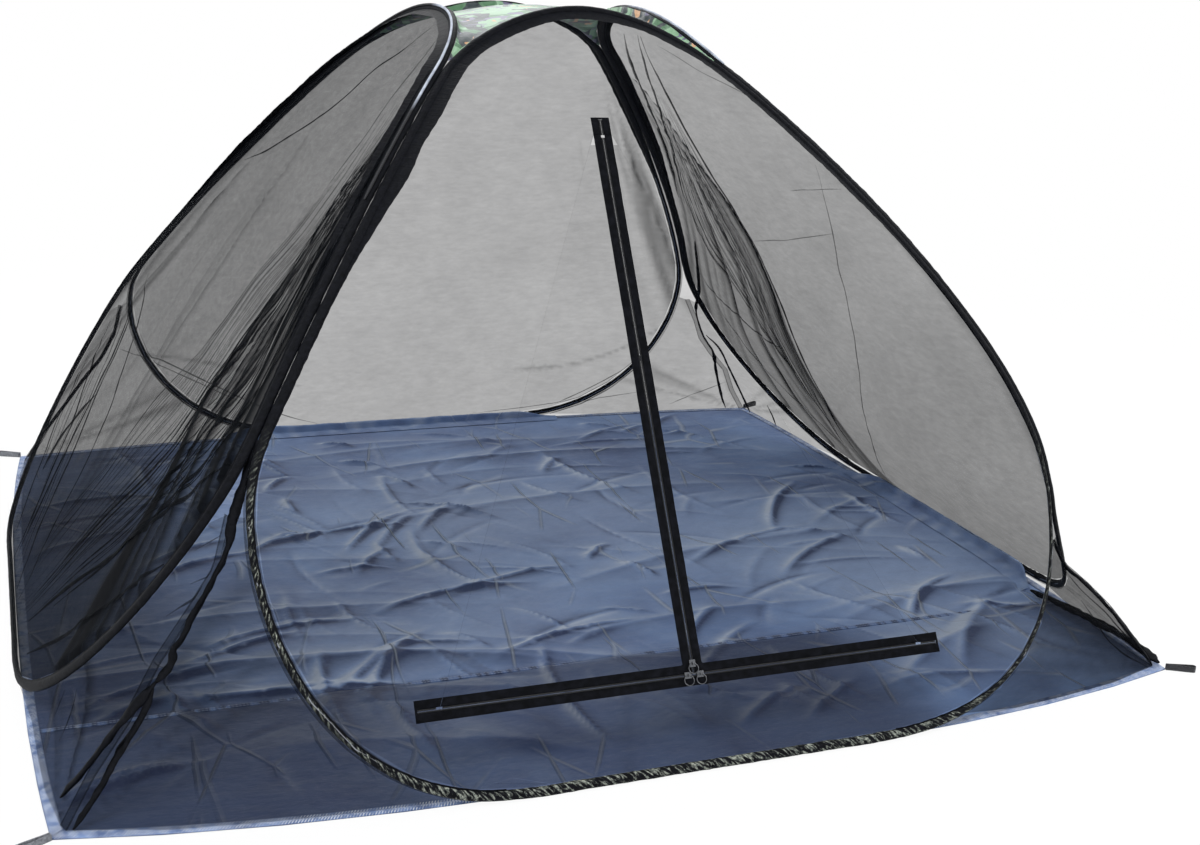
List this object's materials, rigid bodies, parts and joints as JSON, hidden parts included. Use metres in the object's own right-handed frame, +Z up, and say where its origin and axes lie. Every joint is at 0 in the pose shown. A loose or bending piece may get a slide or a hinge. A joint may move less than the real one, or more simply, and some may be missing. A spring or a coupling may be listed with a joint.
{
  "type": "mosquito net tent",
  "caption": "Free-standing pop-up mosquito net tent with four bowed spring hoops in sleeves, net walls, a zipped door in an inverted T, a crown cloth and a sewn-in floor",
  "frame": {"origin": "on the ground, under the middle of the floor", "axes": "+X to the right seen from the door, +Y from the door to the back, +Z up"},
  "size_m": [2.1, 1.951, 1.1673],
  "materials": {
    "spring_steel": "spring-tempered flat strip",
    "ferrule_steel": "crimped tube",
    "sleeve_fabric": "woven polyester, matt",
    "piping_fabric": "corded binding",
    "net": "fine black mosquito mesh",
    "zip_tape": "woven tape",
    "zip_chain": "coil chain",
    "nickel": "plated zinc",
    "floor_cloth": "coated polyester, slightly glossy",
    "hem_binding": "overlocked edge",
    "crown_cloth": "printed camouflage polyester",
    "black_webbing": "woven webbing",
    "grey_webbing": "woven webbing"
  },
  "bodies": {
    "tent": {"hoop_wire_front": "spring_steel", "ferrule_front": "ferrule_steel", "sleeve_front": "sleeve_fabric", "hoop_wire_right": "spring_steel", "ferrule_right": "ferrule_steel", "sleeve_right": "sleeve_fabric", "hoop_wire_back": "spring_steel", "ferrule_back": "ferrule_steel", "sleeve_back": "sleeve_fabric", "hoop_wire_left": "spring_steel", "ferrule_left": "ferrule_steel", "sleeve_left": "sleeve_fabric", "piping_left": "piping_fabric", "piping_right": "piping_fabric", "front_net": "net", "back_net": "net", "left_net": "net", "right_net": "net", "gusset_front_left_front": "net", "gusset_front_left_left": "net", "corner_seam_front_left": "sleeve_fabric", "gusset_front_right_front": "net", "gusset_front_right_right": "net", "corner_seam_front_right": "sleeve_fabric", "gusset_back_right_right": "net", "gusset_back_right_back": "net", "corner_seam_back_right": "sleeve_fabric", "gusset_back_left_back": "net", "gusset_back_left_left": "net", "corner_seam_back_left": "sleeve_fabric", "sill_zip_tape": "zip_tape", "top_zip_tape": "zip_tape", "sill_zip_chain": "zip_chain", "top_zip_chain": "zip_chain", "floor_main_panel": "floor_cloth", "floor_front_panel": "floor_cloth", "floor_hem": "hem_binding", "floor_seam": "hem_binding", "crown_cloth": "crown_cloth", "corner_loop_front_right": "black_webbing", "corner_loop_back_right": "black_webbing", "corner_loop_back_left": "grey_webbing", "corner_loop_front_left": "grey_webbing"},
    "left_flap": {"left_flap_net": "net", "left_flap_zip_tape": "zip_tape", "left_flap_zip_chain": "zip_chain"},
    "right_flap": {"right_flap_net": "net", "right_flap_zip_tape": "zip_tape", "right_flap_zip_chain": "zip_chain"},
    "slider_upright": {"zip_slider_upright": "nickel"},
    "pull_upright": {"zip_pull_upright": "nickel"},
    "slider_left": {"zip_slider_left": "nickel"},
    "pull_left": {"zip_pull_left": "nickel"},
    "slider_right": {"zip_slider_right": "nickel"},
    "pull_right": {"zip_pull_right": "nickel"}
  },
  "joints": [
    {"name": "left_flap_fold", "type": "hinge", "parent": "tent", "child": "left_flap", "pos_m": [-0.22387, -0.65165, 0.53682], "axis": [-0.3932, -0.491, -0.7774], "range_deg": [0, 150]},
    {"name": "right_flap_fold", "type": "hinge", "parent": "tent", "child": "right_flap", "pos_m": [0.22387, -0.65165, 0.53682], "axis": [-0.3932, 0.491, 0.7774], "range_deg": [0, 150]},
    {"name": "upright_slide", "type": "slide", "parent": "tent", "child": "slider_upright", "axis": [0, 0.534, 0.8455], "range_m": [0, 0.9654]},
    {"name": "left_slide", "type": "slide", "parent": "tent", "child": "slider_left", "axis": [-1, 0, 0], "range_m": [0, 0.439]},
    {"name": "right_slide", "type": "slide", "parent": "tent", "child": "slider_right", "axis": [1, 0, 0], "range_m": [0, 0.439]},
    {"name": "upright_pull_hinge", "type": "hinge", "parent": "slider_upright", "child": "pull_upright", "pos_m": [0, -0.90176, 0.14664], "axis": [-1, 0, 0], "range_deg": [0, 165]},
    {"name": "left_pull_hinge", "type": "hinge", "parent": "slider_left", "child": "pull_left", "pos_m": [-0.011, -0.91164, 0.131], "axis": [-1, 0, 0], "range_deg": [0, 140]},
    {"name": "right_pull_hinge", "type": "hinge", "parent": "slider_right", "child": "pull_right", "pos_m": [0.011, -0.91164, 0.131], "axis": [-1, 0, 0], "range_deg": [0, 140]}
  ]
}
